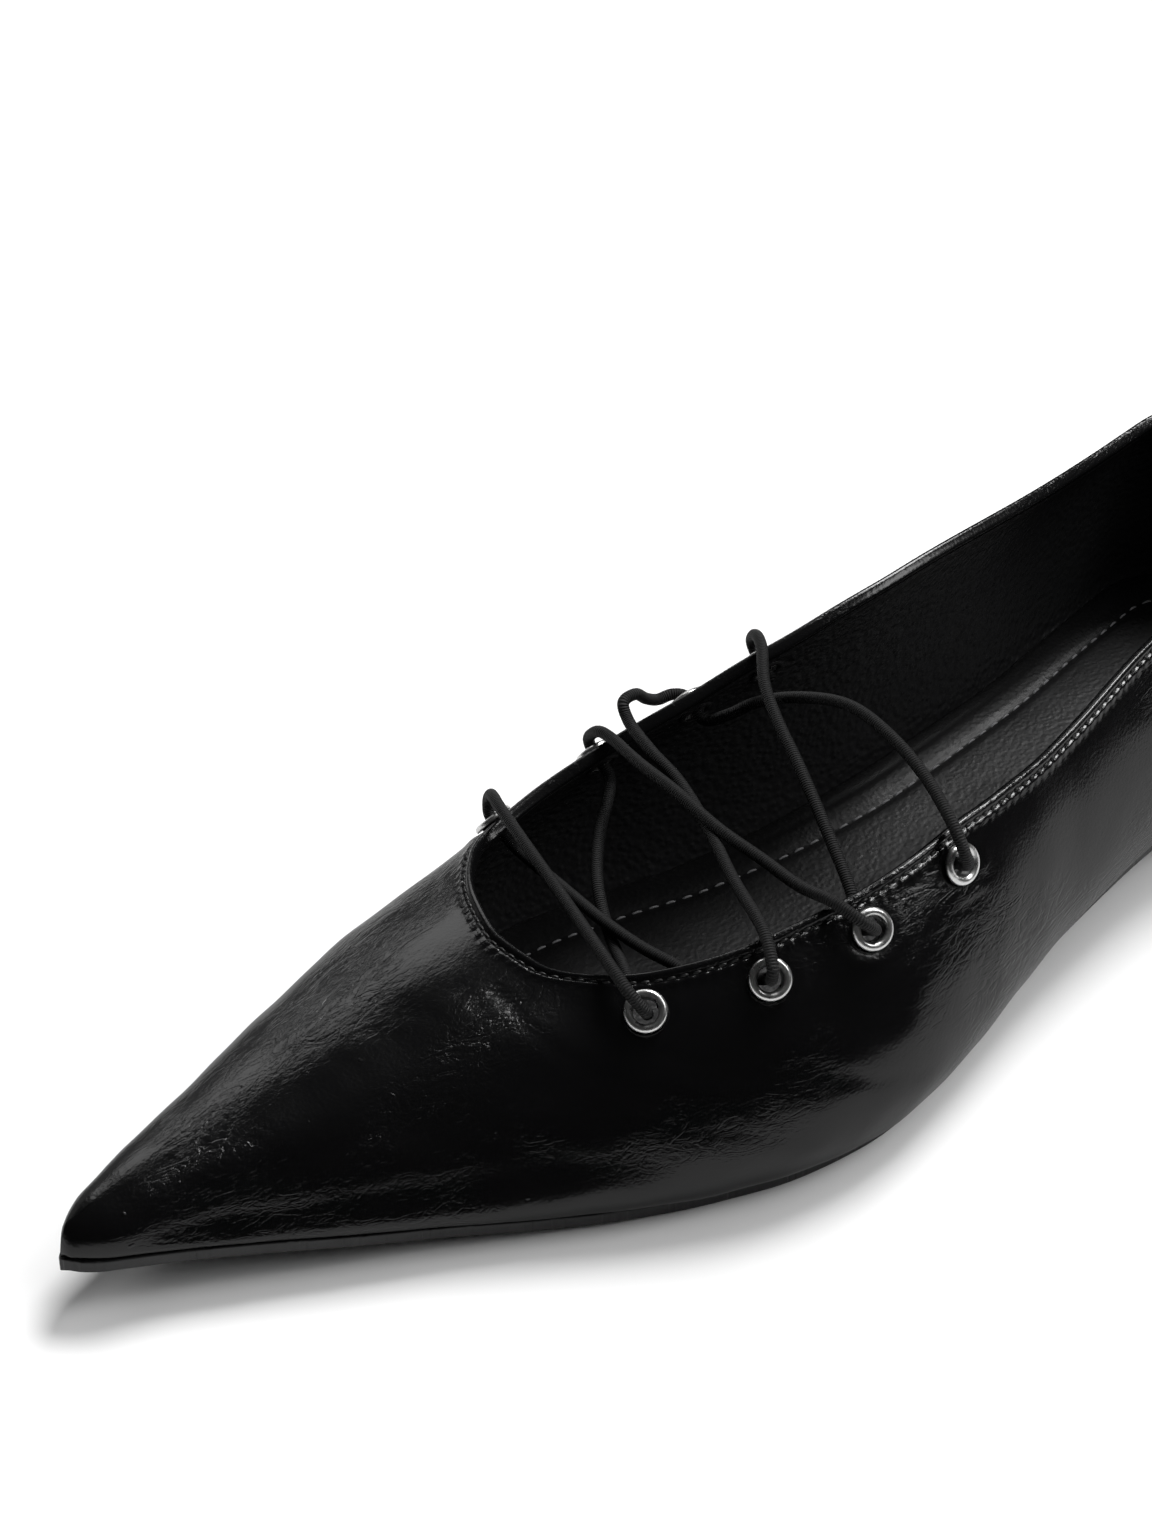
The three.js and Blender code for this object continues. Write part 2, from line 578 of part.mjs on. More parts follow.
function lace() {
  const route = LACE_ROUTE.map((p) => new THREE.Vector3(...p));
  const round = [];
  for (let i = 0; i < 8; i += 1) {
    const angle = (i / 8) * 2 * Math.PI;
    round.push(new THREE.Vector2(Math.cos(angle), Math.sin(angle)).multiplyScalar(LACE / 2));
  }
  const path = new Route(route, false, 'centripetal');
  const steps = Math.round(1.5 * (route.length - 1));
  return new THREE.ExtrudeGeometry(new THREE.Shape(round), { steps, extrudePath: path, bevelEnabled: false });
}

// Materials
const leather = new THREE.MeshStandardMaterial({ color: 0x0b0b0c, roughness: 0.25, metalness: 0 });
const lining = new THREE.MeshStandardMaterial({ color: 0x141415, roughness: 0.5, metalness: 0 });
const rubber = new THREE.MeshStandardMaterial({ color: 0x101010, roughness: 0.6, metalness: 0 });
const elastic = new THREE.MeshStandardMaterial({ color: 0x161616, roughness: 0.9, metalness: 0 });
const steel = new THREE.MeshStandardMaterial({ color: 0xc4c4c6, roughness: 0.2, metalness: 1 });

const shoe = new THREE.Group();
function add(name, geometry, material) {
  const mesh = new THREE.Mesh(geometry, material.clone());
  mesh.name = name;
  shoe.add(mesh);
}
add('upper', upper(), leather);
add('outsole', outsole(), rubber);
add('heel', heel(), rubber);
add('insole', insole(), lining);
seats.forEach((seat) => add(seat.name, eyelet(seat), steel));
add('lace', lace(), elastic);

// The origin is under the middle of the shoe, on the floor.
const box = new THREE.Box3().setFromObject(shoe);
const centre = box.getCenter(new THREE.Vector3());
shoe.position.set(-centre.x, -centre.y, 0);

export default shoe;
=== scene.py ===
import math

import bmesh
import bpy
import numpy as np
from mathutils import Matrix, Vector


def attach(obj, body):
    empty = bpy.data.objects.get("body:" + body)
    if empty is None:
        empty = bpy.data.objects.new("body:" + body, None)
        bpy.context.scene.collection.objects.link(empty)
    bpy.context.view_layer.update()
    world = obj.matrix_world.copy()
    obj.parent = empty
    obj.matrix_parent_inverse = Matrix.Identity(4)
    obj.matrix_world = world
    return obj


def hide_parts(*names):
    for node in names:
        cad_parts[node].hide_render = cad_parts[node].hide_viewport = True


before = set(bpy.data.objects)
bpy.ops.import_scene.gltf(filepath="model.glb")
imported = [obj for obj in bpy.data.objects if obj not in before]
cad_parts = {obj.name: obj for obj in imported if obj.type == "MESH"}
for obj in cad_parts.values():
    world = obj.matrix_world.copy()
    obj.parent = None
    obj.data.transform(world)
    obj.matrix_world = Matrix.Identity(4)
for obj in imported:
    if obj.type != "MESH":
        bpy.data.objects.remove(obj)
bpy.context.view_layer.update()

# Camera: it looks down over the toe at the outer side of the shoe, from about two thirds of a
# metre away. The small shift keeps the toe in the lower left of a tall picture.
camera = bpy.data.objects.new("camera", bpy.data.cameras.new("camera"))
bpy.context.scene.collection.objects.link(camera)
camera.location = (-0.3290, -0.3617, 0.4450)
camera.rotation_euler = Vector((0.4756, 0.6037, -0.6397)).to_track_quat("-Z", "Y").to_euler()
camera.data.lens = 90.95
camera.data.sensor_width = 36
camera.data.shift_y = 0.036
camera.data.clip_start = 0.01
bpy.context.scene.camera = camera


# Lace: one round cord of rubber cores in a braided black cover, 2 mm thick. It runs through the
# eyelets in long loose arches and loops, and both ends are knotted off inside the last eyelets.
lace_across = 2.0
lace_route = np.array([
    # out of outer eyelet 4 and over in an arch to inner eyelet 3
    [141.7, -38.7, 45.4], [141.8, -41.3, 46.8], [142.0, -43.7, 48.0], [141.2, -43.9, 50.5],
    [140.9, -42.3, 53.5], [141.4, -39.0, 55.7], [143.0, -32.1, 57.7], [144.0, -22.7, 59.6],
    [144.3, -12.0, 59.3], [142.1, -2.6, 56.2], [139.6, 5.0, 51.7], [137.5, 9.4, 47.5],
    [136.3, 14.2, 44.0], [135.7, 16.7, 45.3], [135.8, 18.9, 46.4],
    # loop over the inner rim, then down to outer eyelet 2
    [134.3, 20.3, 46.6], [131.7, 20.9, 46.4], [128.8, 20.4, 48.3], [125.7, 19.6, 51.2],
    [122.4, 18.6, 51.6], [121.6, 16.4, 49.9], [119.8, 8.2, 49.4], [119.0, 0.2, 48.7],
    [115.7, -11.1, 48.1], [110.9, -23.3, 47.8], [106.6, -36.2, 47.2], [104.7, -40.4, 44.2],
    [104.9, -40.0, 41.7], [106.0, -38.2, 39.9], [106.9, -36.6, 38.3],
    # inside to inner eyelet 1, out and over to outer eyelet 1
    [101.4, -28.5, 35.3], [99.6, -22.2, 35.5], [98.6, -15.9, 35.0], [98.0, -7.2, 34.7],
    [99.1, 4.3, 33.1], [100.3, 20.5, 31.8], [99.8, 23.0, 33.7], [99.4, 25.0, 35.2],
    [99.6, 25.6, 37.8], [99.2, 24.4, 40.1], [98.0, 21.9, 41.7], [97.0, 19.3, 42.2],
    [95.2, 12.4, 42.4], [91.3, -4.7, 42.1], [86.3, -24.4, 42.4], [86.0, -28.6, 41.0],
    [87.3, -30.6, 38.2], [88.8, -29.1, 36.1], [90.0, -27.9, 34.2],
    # inside to inner eyelet 2, out and over to outer eyelet 3
    [92.6, -21.5, 32.8], [94.6, -16.3, 33.1], [99.2, -6.4, 32.5], [103.4, 1.4, 34.5],
    [110.1, 9.3, 35.7], [119.4, 18.3, 37.6], [119.3, 21.0, 39.5], [119.3, 23.2, 40.9],
    [119.3, 23.8, 42.3], [119.1, 22.4, 44.5], [118.9, 20.3, 46.2], [118.8, 17.6, 46.8],
    [117.3, 7.7, 48.1], [116.4, -2.2, 49.3], [115.8, -14.1, 49.3], [116.7, -23.7, 48.9],
    [117.1, -32.2, 48.9], [118.0, -38.9, 49.8], [119.9, -43.7, 48.0], [122.3, -44.3, 45.4],
    [123.0, -42.0, 43.6], [123.5, -39.9, 42.1],
    # inside, up over the inner rim and back into inner eyelet 4
    [125.9, -34.4, 45.0], [129.6, -23.7, 49.2], [133.3, -12.9, 52.8], [136.7, -3.1, 55.1],
    [139.8, 3.4, 56.4], [145.4, 10.8, 56.9], [147.2, 13.9, 56.4], [148.6, 16.6, 54.4],
    [149.0, 17.4, 52.4], [148.8, 15.7, 50.5], [148.6, 13.3, 49.3], [148.4, 11.0, 48.2],
])


def on_floor_centre(points):
    """Metres from the shoe's middle on the floor, from millimetres behind the toe tip."""
    return (np.asarray(points, float) - [133.473, -10.710, 0.0]) / 1000


def unit(vectors):
    return vectors / np.maximum(np.linalg.norm(vectors, axis=-1, keepdims=True), 1e-12)


def smooth_route(points, steps):
    """A cord's line through its points: in each span a cubic whose end slopes weigh the two
    neighbouring spans by the square root of their lengths."""
    p = np.vstack([2 * points[0] - points[1], points, 2 * points[-1] - points[-2]])
    q = np.linspace(0, 1, steps, endpoint=False)[:, None]
    line = []
    for a, b, c, d in zip(p[:-3], p[1:-2], p[2:-1], p[3:]):
        before, span, after = (np.linalg.norm(v) ** 0.5 for v in (b - a, c - b, d - c))
        leave = ((b - a) / before - (c - a) / (before + span) + (c - b) / span) * span
        reach = ((c - b) / span - (d - b) / (span + after) + (d - c) / after) * span
        turn = 3 * (c - b) - 2 * leave - reach
        line.append(b + leave * q + turn * q ** 2 + (2 * (b - c) + leave + reach) * q ** 3)
    return np.concatenate([*line, points[-1:]])


def skin(name, grid, ring=False, loop=False, caps=False, uv=None):
    """A smooth mesh over rows and columns of points in millimetres. ring joins the last column
    to the first and loop the last row to the first; caps close the end rows with a fan each.
    The faces of a closed mesh are turned outward by its signed volume."""
    rows, columns = grid.shape[:2]
    index = np.arange(rows * columns).reshape(rows, columns)
    index = np.vstack([index, index[:1]]) if loop else index
    index = np.hstack([index, index[:, :1]]) if ring else index
    corners = index[:-1, :-1], index[:-1, 1:], index[1:, 1:], index[1:, :-1]
    faces = np.stack(corners, axis=-1).reshape(-1, 4)
    points = grid.reshape(-1, 3)
    fans = []
    if caps:
        for row, step in ((0, -1), (rows - 1, 1)):
            hub = len(points)
            points = np.vstack([points, grid[row].mean(axis=0)])
            edge = index[row][::step]
            fans += [[hub, a, b] for a, b in zip(edge[:-1], edge[1:])]
    a, b, c, d = (points[faces[:, k]] for k in range(4))
    inside = np.einsum("ij,ij->", a, np.cross(b, c)) + np.einsum("ij,ij->", a, np.cross(c, d))
    turned = inside < 0
    faces = faces[:, ::-1] if turned else faces
    fans = [fan[::-1] for fan in fans] if turned else fans
    mesh = bpy.data.meshes.new(name)
    mesh.from_pydata(on_floor_centre(points).tolist(), [], faces.tolist() + fans)
    mesh.polygons.foreach_set("use_smooth", [True] * len(mesh.polygons))
    if uv is not None:
        picks = [uv[:-1, :-1], uv[:-1, 1:], uv[1:, 1:], uv[1:, :-1]]
        flat = np.stack(picks, axis=2).reshape(-1, 4, 2)
        flat = flat[:, ::-1] if turned else flat
        flat = np.concatenate([flat.reshape(-1), np.zeros(6 * len(fans))])
        mesh.uv_layers.new(name="run").data.foreach_set("uv", flat)
    made = bpy.data.objects.new(name, mesh)
    bpy.context.scene.collection.objects.link(made)
    return made


def tube(name, line, radius, columns):
    """A round cord along a line: each cross-section is carried on from the one before without
    twist. The ends are rounded off over one radius. uv is turns round and millimetres along."""
    ahead = unit(np.gradient(line, axis=0))
    side = np.empty_like(line)
    side[0] = unit(np.cross(ahead[0], [0.3, 0.2, 1.0]))
    for i in range(1, len(line)):
        side[i] = unit(side[i - 1] - ahead[i] * np.dot(side[i - 1], ahead[i]))
    run = np.concatenate([[0], np.cumsum(np.linalg.norm(np.diff(line, axis=0), axis=1))])
    from_end = np.minimum(run, run[-1] - run)
    width = radius * np.sqrt(np.clip(1 - (1 - np.clip(from_end / radius, 0, 1)) ** 2, 0.02, 1))
    angle = np.linspace(0, 2 * np.pi, columns, endpoint=False)
    spokes = side[:, None] * np.cos(angle)[None, :, None]
    spokes = spokes + np.cross(ahead, side)[:, None] * np.sin(angle)[None, :, None]
    grid = line[:, None] + spokes * width[:, None, None]
    turns, along = np.meshgrid(np.arange(columns + 1) / columns, run)
    return skin(name, grid, ring=True, caps=True, uv=np.stack([turns, along], axis=-1))


class Field:
    """A socket in a material on which plain arithmetic makes Math nodes."""

    def __init__(self, socket):
        self.socket = socket

    def node(self, kind, inputs=None, out=0, **settings):
        """One output of a new node, whose settings are made before its inputs."""
        tree = self.socket.id_data
        made = tree.nodes.new(kind)
        for name, value in settings.items():
            setattr(made, name, value)
        for name, value in (inputs or {}).items():
            if isinstance(value, Field):
                tree.links.new(value.socket, made.inputs[name])
            else:
                made.inputs[name].default_value = value
        return Field(made.outputs[out])

    def maths(self, operation, *others):
        return self.node("ShaderNodeMath", dict(enumerate((self, *others))), operation=operation)

    def __add__(self, other):
        return self.maths("ADD", other)

    __radd__ = __add__

    def __sub__(self, other):
        return self.maths("SUBTRACT", other)

    def __rsub__(self, other):
        return self.maths("MULTIPLY_ADD", -1.0, other)

    def __mul__(self, other):
        return self.maths("MULTIPLY", other)

    __rmul__ = __mul__

    def rise(self, low, high):
        """0 below low, 1 above high, and a smooth step between."""
        inputs = {"Value": self, "From Min": low, "From Max": high}
        return self.node("ShaderNodeMapRange", inputs, interpolation_type="SMOOTHSTEP")

    def noise(self, scale, detail=2.0, distortion=0.0):
        inputs = {"Vector": self, "Scale": scale, "Detail": detail, "Distortion": distortion}
        return self.node("ShaderNodeTexNoise", inputs)

    def cells(self, scale, feature="F1"):
        inputs = {"Vector": self, "Scale": scale}
        return self.node("ShaderNodeTexVoronoi", inputs, feature=feature)

    def stretched(self, x, y, z):
        return self.node("ShaderNodeMapping", {"Vector": self, "Scale": (x, y, z)})


def finish_of(name, colour, roughness, **constants):
    """A new material: its Principled shader, and the object's own coordinates as a Field."""
    material = bpy.data.materials.new(name)
    material.use_nodes = True
    shader = material.node_tree.nodes["Principled BSDF"]
    shader.inputs["Base Color"].default_value = (*colour, 1)
    shader.inputs["Roughness"].default_value = roughness
    for socket, value in constants.items():
        shader.inputs[socket.replace("_", " ")].default_value = value
    place = material.node_tree.nodes.new("ShaderNodeTexCoord")
    return material, shader, Field(place.outputs["Object"])


def wire(field, shader, socket):
    field.socket.id_data.links.new(field.socket, shader.inputs[socket])


def relief(height, shader):
    """Bump from a height in millimetres."""
    wire(height.node("ShaderNodeBump", {"Height": height, "Distance": 0.001}), shader, "Normal")


def uv_run(field):
    """The two uv numbers of a piece, in its own units."""
    both = field.node("ShaderNodeUVMap", out="UV", uv_map="run")
    return [both.node("ShaderNodeSeparateXYZ", {"Vector": both}, out=k) for k in (0, 1)]


def dressed(piece, material, slot, *nodes):
    """The piece gets its material, rides on the shoe and replaces its solids. Its slot argument is not
    used.
    """
    piece.data.materials.append(material)
    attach(piece, "root")
    if nodes:
        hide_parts(*nodes)
    return piece


lace_line = smooth_route(lace_route, 12)
lace = tube("laced_cord", lace_line, lace_across / 2, 20)
braid, shader, place = finish_of("braided_elastic", (0.011, 0.011, 0.012), 0.66, Specular_IOR_Level=0.35)
turns, along = uv_run(place)
rib = (along * (2 * math.pi / 0.42) + turns * (2 * math.pi)).maths("SINE")
strand = (along * (2 * math.pi / 1.6) - turns * (4 * math.pi)).maths("SINE")
relief(rib * 0.09 + strand * 0.02 + place.noise(2500, 2) * 0.06, shader)
# The cord's colour is its own near-black tone with random variation, and painted darker in the grooves
# between the ribs: painted shade in the grooves.
shade = (rib * 0.4 + 0.5) * 0.006 + place.noise(900, 1) * 0.003 + 0.0005
tint = shade.node("ShaderNodeCombineColor", {0: shade, 1: shade, 2: shade * 1.05})
wire(tint, shader, "Base Color")
dressed(lace, braid, "lace_elastic", "lace")


# Upper: one hollow wall of thin glossy leather over a backing and a leather lining, pulled over
# the last and turned in under the insole. Its top edge is folded over and stitched all round.
length, ball_width, instep = 268.0, 71.0, 66.0
toe_spring, heel_lift, toe_round, heel_round = 9.0, 10.4, 7.0, 27.0
tip_taper, heel_lean, toe_lean, throat = 2.4, 4.0, 1.2, 79.3
wall, lasting, sole_thickness, gap = 1.8, 7.0, 2.5, 0.3
widest_up = 0.25


def smooth_table(rows):
    """Curves through a table's rows, one for each column after the first. Their slopes are
    weighted harmonic means of the rises to both sides, so that none runs past a row."""
    rows = np.array(rows)
    at, v = rows[:, 0], rows[:, 1:]
    step = np.diff(at)[:, None]
    rise = np.diff(v, axis=0) / step
    a, b = 2 * step[1:] + step[:-1], step[1:] + 2 * step[:-1]
    same = rise[:-1] * rise[1:] > 0
    safe = np.where(same, rise[:-1], 1), np.where(same, rise[1:], 1)
    slope = np.zeros_like(v)
    slope[1:-1] = np.where(same, (a + b) / (a / safe[0] + b / safe[1]), 0)
    for end, near, far in ((0, 0, 1), (-1, -1, -2)):
        h0, h1, d0, d1 = step[near], step[far], rise[near], rise[far]
        s = ((2 * h0 + h1) * d0 - h0 * d1) / (h0 + h1)
        s = np.where(s * d0 <= 0, 0, s)
        slope[end] = np.where((d0 * d1 <= 0) & (abs(s) > 3 * abs(d0)), 3 * d0, s)

    def at_station(x):
        x = np.asarray(x, float)
        i = np.clip(np.searchsorted(at, x, side="left") - 1, 0, len(at) - 2)
        q = np.clip((x - at[i]) / step[i, 0], 0, 1)[..., None]
        start, end, h = v[i], v[i + 1], step[i]
        bend = slope[i] * q * (1 - q) ** 2 - slope[i + 1] * q * q * (1 - q)
        found = start * (1 + 2 * q) * (1 - q) ** 2 + end * q * q * (3 - 2 * q) + h * bend
        return np.moveaxis(found, -1, 0)
    return at_station


# columns: share of length, half width, swing, swell outer, swell inner, toe spring, heel lift,
# height of the widest line, height of the ridge
last = smooth_table([
    [0.000, 0.028, -0.055, 0.017, 0.010, 1.00, 0.00, 0.059, 0.115],
    [0.022, 0.059, -0.049, 0.018, 0.014, 0.96, 0.00, 0.062, 0.135],
    [0.052, 0.100, -0.042, 0.021, 0.018, 0.88, 0.00, 0.071, 0.174],
    [0.101, 0.169, -0.025, 0.027, 0.024, 0.73, 0.00, 0.088, 0.247],
    [0.149, 0.242, -0.010, 0.032, 0.028, 0.55, 0.00, 0.102, 0.323],
    [0.201, 0.315, 0.007, 0.039, 0.034, 0.37, 0.00, 0.117, 0.408],
    [0.250, 0.385, 0.030, 0.048, 0.039, 0.22, 0.00, 0.133, 0.488],
    [0.299, 0.439, 0.061, 0.059, 0.045, 0.09, 0.00, 0.153, 0.556],
    [0.354, 0.476, 0.100, 0.075, 0.052, 0.00, 0.00, 0.176, 0.671],
    [0.403, 0.497, 0.132, 0.083, 0.061, 0.00, 0.00, 0.194, 0.770],
    [0.451, 0.486, 0.158, 0.087, 0.069, 0.00, 0.00, 0.212, 0.861],
    [0.500, 0.448, 0.175, 0.089, 0.073, 0.00, 0.04, 0.224, 0.944],
    [0.549, 0.401, 0.176, 0.089, 0.077, 0.00, 0.18, 0.233, 0.992],
    [0.597, 0.359, 0.165, 0.087, 0.077, 0.00, 0.36, 0.241, 1.000],
    [0.649, 0.330, 0.141, 0.082, 0.070, 0.00, 0.54, 0.248, 0.983],
    [0.750, 0.317, 0.083, 0.069, 0.055, 0.00, 0.81, 0.256, 0.903],
    [0.851, 0.346, 0.023, 0.059, 0.039, 0.00, 0.93, 0.258, 0.827],
    [0.925, 0.368, -0.011, 0.051, 0.031, 0.00, 0.98, 0.262, 0.806],
    [1.000, 0.382, -0.025, 0.038, 0.023, 0.00, 1.00, 0.268, 0.806],
])

# columns: share of the way from throat to back seam, reach, height round the section, foot
collar = {
    -1: smooth_table([
        [0 / 9, 0.000, 1.000, 0.000], [1 / 9, 0.006, 0.884, 0.105], [2 / 9, 0.037, 0.785, 0.205],
        [3 / 9, 0.100, 0.709, 0.295], [4 / 9, 0.207, 0.655, 0.390], [5 / 9, 0.343, 0.600, 0.505],
        [6 / 9, 0.483, 0.554, 0.620], [7 / 9, 0.642, 0.597, 0.745], [8 / 9, 0.878, 0.645, 0.900],
        [9 / 9, 1.000, 0.680, 1.000],
    ]),
    1: smooth_table([
        [0 / 9, 0.000, 1.000, 0.000], [1 / 9, 0.015, 0.862, 0.105], [2 / 9, 0.045, 0.724, 0.205],
        [3 / 9, 0.089, 0.624, 0.295], [4 / 9, 0.187, 0.597, 0.390], [5 / 9, 0.327, 0.612, 0.505],
        [6 / 9, 0.484, 0.641, 0.620], [7 / 9, 0.663, 0.654, 0.745], [8 / 9, 0.878, 0.670, 0.900],
        [9 / 9, 1.000, 0.680, 1.000],
    ]),
}


def feather_height(x):
    columns = last(x / length)
    return sole_thickness + gap + toe_spring * columns[4] + heel_lift * columns[5]


def last_point(x, up, side, depth):
    """Point of the wall at station x. up goes from 0 at the feather line through 0.25 at the
    widest line to 1 on the ridge: below it is a quarter wave out, above it a quarter ellipse
    in. depth is how far inside the outer face it lies; tip and heel round off in plan."""
    x, up, depth = (np.asarray(v, float) for v in (x, up, depth))
    half, swing, outer, inner, _, _, widest, ridge = last(x / length)
    nose = np.clip((x - tip_taper * depth) / toe_round, 0, 1)
    nose = np.sqrt(1 - (1 - nose) ** 2)
    turn = heel_round - depth
    back = np.sqrt(1 - np.clip((x - (length - depth - turn)) / turn, 0, 1) ** 2)
    foot = np.maximum(half * ball_width - depth, 0.2) * nose * back
    bulge = np.where(side < 0, outer, inner) * ball_width * nose * back
    widest = widest * instep
    tall = (ridge * instep - widest) * (0.35 + 0.65 * nose) - depth
    low = np.minimum(up / widest_up, 1) * np.pi / 2
    high = np.maximum((up - widest_up) / (1 - widest_up), 0) * np.pi / 2
    y = np.where(up < widest_up, foot + bulge * np.sin(low), (foot + bulge) * np.cos(high))
    h = np.where(up < widest_up, widest * (1 - np.cos(low)), widest + tall * np.sin(high))
    at = x / length
    nod = toe_lean * np.maximum(1 - at / 0.052, 0) ** 2 * (h / 5) ** 2
    sag = heel_lean * np.maximum((at - 0.78) / 0.22, 0) ** 2 * ((h - 12) / 33) ** 2
    found = x + nod - sag, side * y - swing * ball_width, feather_height(x) + h
    return np.stack(np.broadcast_arrays(*found), axis=-1)


def up_at(x, h):
    return np.arccos(np.clip(1 - h / (last(x / length)[6] * instep), -1, 1)) / (np.pi / 2) / 4


def inset_station(x, depth):
    ahead = np.maximum(1 - x / (0.3 * length), 0)
    behind = np.maximum(1 - (length - x) / (0.22 * length), 0)
    return x + tip_taper * depth * ahead ** 2 - depth * behind ** 2


def wall_spoke(side, way):
    """Line of the wall from the sole to the collar: rows of run, station and up."""
    reach, up, foot = collar[side](way)
    foot, top = foot * length, throat + reach * (length - throat)
    turn = 1 + 5 * max(1 - way / 0.35, 0) ** 2
    q = np.linspace(0, 1, 161)
    x, rise = foot + (top - foot) * q ** turn, up * (1 - (1 - q) ** turn)
    steps = np.linalg.norm(np.diff(last_point(x, rise, side, 0), axis=0), axis=1)
    return np.concatenate([[0], np.cumsum(steps)]), x, rise


def spoke_point(side, way, drop, depth):
    """Point of the wall that far below the collar along its spoke and that deep inside."""
    run, x, up = wall_spoke(side, way)
    drop = np.asarray(drop, float)
    x, up = np.interp(run[-1] - drop, run, x), np.interp(run[-1] - drop, run, up)
    return last_point(inset_station(x, depth), up, side, np.asarray(depth, float))


# section of the folded edge, from the flat wall up over the top and down inside: drop below the
# collar and depth inside the outer face
fold = np.array([
    [3.6, 0.00], [3.1, -0.06], [2.7, -0.20], [2.35, -0.27], [2.1, -0.16], [1.9, 0.04],
    [1.7, 0.10], [1.5, 0.08], [1.32, -0.10], [1.15, -0.34], [0.9, -0.48], [0.6, -0.50],
    [0.35, -0.42], [0.15, -0.24], [0.03, 0.02], [0.0, 0.35], [0.0, 0.8], [0.02, 1.2],
    [0.12, 1.5], [0.3, 1.72], [0.6, 1.86], [0.95, 1.82], [1.3, 1.70], [1.6, 1.98], [1.9, 2.06],
    [2.3, 1.98], [2.7, 1.84], [3.2, 1.8],
])
upper_rows, lining_rows, half_ring = 62, 34, 250
fold_top, fold_outside = 13, 20
ring_way = np.linspace(0, 1, half_ring + 1)
ring_way = 1 - (1 - ring_way) * (0.12 + 0.88 * (1 - ring_way ** 1.6))
sections, uv_rows = [], []
collar_run, before = 0.0, None
spokes = [(-1, w) for w in ring_way] + [(1, w) for w in ring_way[-2:0:-1]]
for side, way in spokes:
    run, x, up = wall_spoke(side, way)
    spread = run[-1] - fold[0, 0]
    drops = fold[0, 0] + spread * (1 - np.linspace(0, 1, upper_rows) ** 1.1)
    outside = spoke_point(side, way, drops, 0)
    rim = spoke_point(side, way, *fold[1:].T)
    q = np.linspace(0, 1, lining_rows)[1:] ** 1.1
    drops_in = fold[-1, 0] + (run[-1] - fold[-1, 0]) * q
    xs, ups = (np.interp(run[-1] - drops_in, run, v) for v in (x, up))
    inner_x = inset_station(xs, wall)
    start = up_at(inner_x, wall)
    within = last_point(inner_x, start + ups * (1 - start / up[-1]), side, wall)
    margin = last_point(inset_station(x[0], lasting), 0.0, side, lasting)
    turned_in = last_point(inset_station(x[0], 0.5), 0.0, side, 0.5)
    section = np.concatenate([[margin], [turned_in], outside, rim, within, [margin + [0, 0, wall]]])
    if way == 0:
        section[:, 1] = -last(section[:, 0] / length)[1] * ball_width
    edge = rim[fold_top]
    collar_run += 0 if before is None else float(np.linalg.norm(edge - before))
    before = edge
    drop_list = [drops[0] + 7, drops[0] + 0.5, *drops, *fold[1:, 0], *drops_in, drops_in[-1] + 7]
    sections.append(section)
    uv_rows.append([[collar_run, d] for d in drop_list])
upper_grid = np.array(sections)
uv_rows.append([[collar_run + np.linalg.norm(sections[0][16] - sections[-1][16]), d]
                for _, d in uv_rows[0]])
upper_uv = np.array(uv_rows)
upper_uv = np.concatenate([upper_uv, upper_uv[:, :1]], axis=1)

# eyelets of the two rows, as the share of the shoe's length of the collar point above each
eyelet_reach = {-1: [0.343, 0.4, 0.463, 0.533], 1: [0.378, 0.449, 0.509, 0.557]}


eyelet_drop, hole_cut = 6.4, 2.45


def eyelet_seat(side, reach):
    """Centre of an eyelet on the wall's outer face and the way out of the wall there."""
    share = (reach * length - throat) / (length - throat)
    ways = np.linspace(0, 1, 4001)
    way = float(np.interp(share, collar[side](ways)[0], ways))
    run, x, up = wall_spoke(side, way)
    x, up = (float(np.interp(run[-1] - eyelet_drop, run, v)) for v in (x, up))
    along = last_point(x + 1, up, side, 0) - last_point(x - 1, up, side, 0)
    rise = last_point(x, up + 0.01, side, 0) - last_point(x, up - 0.01, side, 0)
    out = unit(np.cross(along, rise))
    return last_point(x, up, side, 0), out * np.sign(out[1] * side)


seats = {(side, i + 1): eyelet_seat(side, reach)
         for side in (-1, 1) for i, reach in enumerate(eyelet_reach[side])}

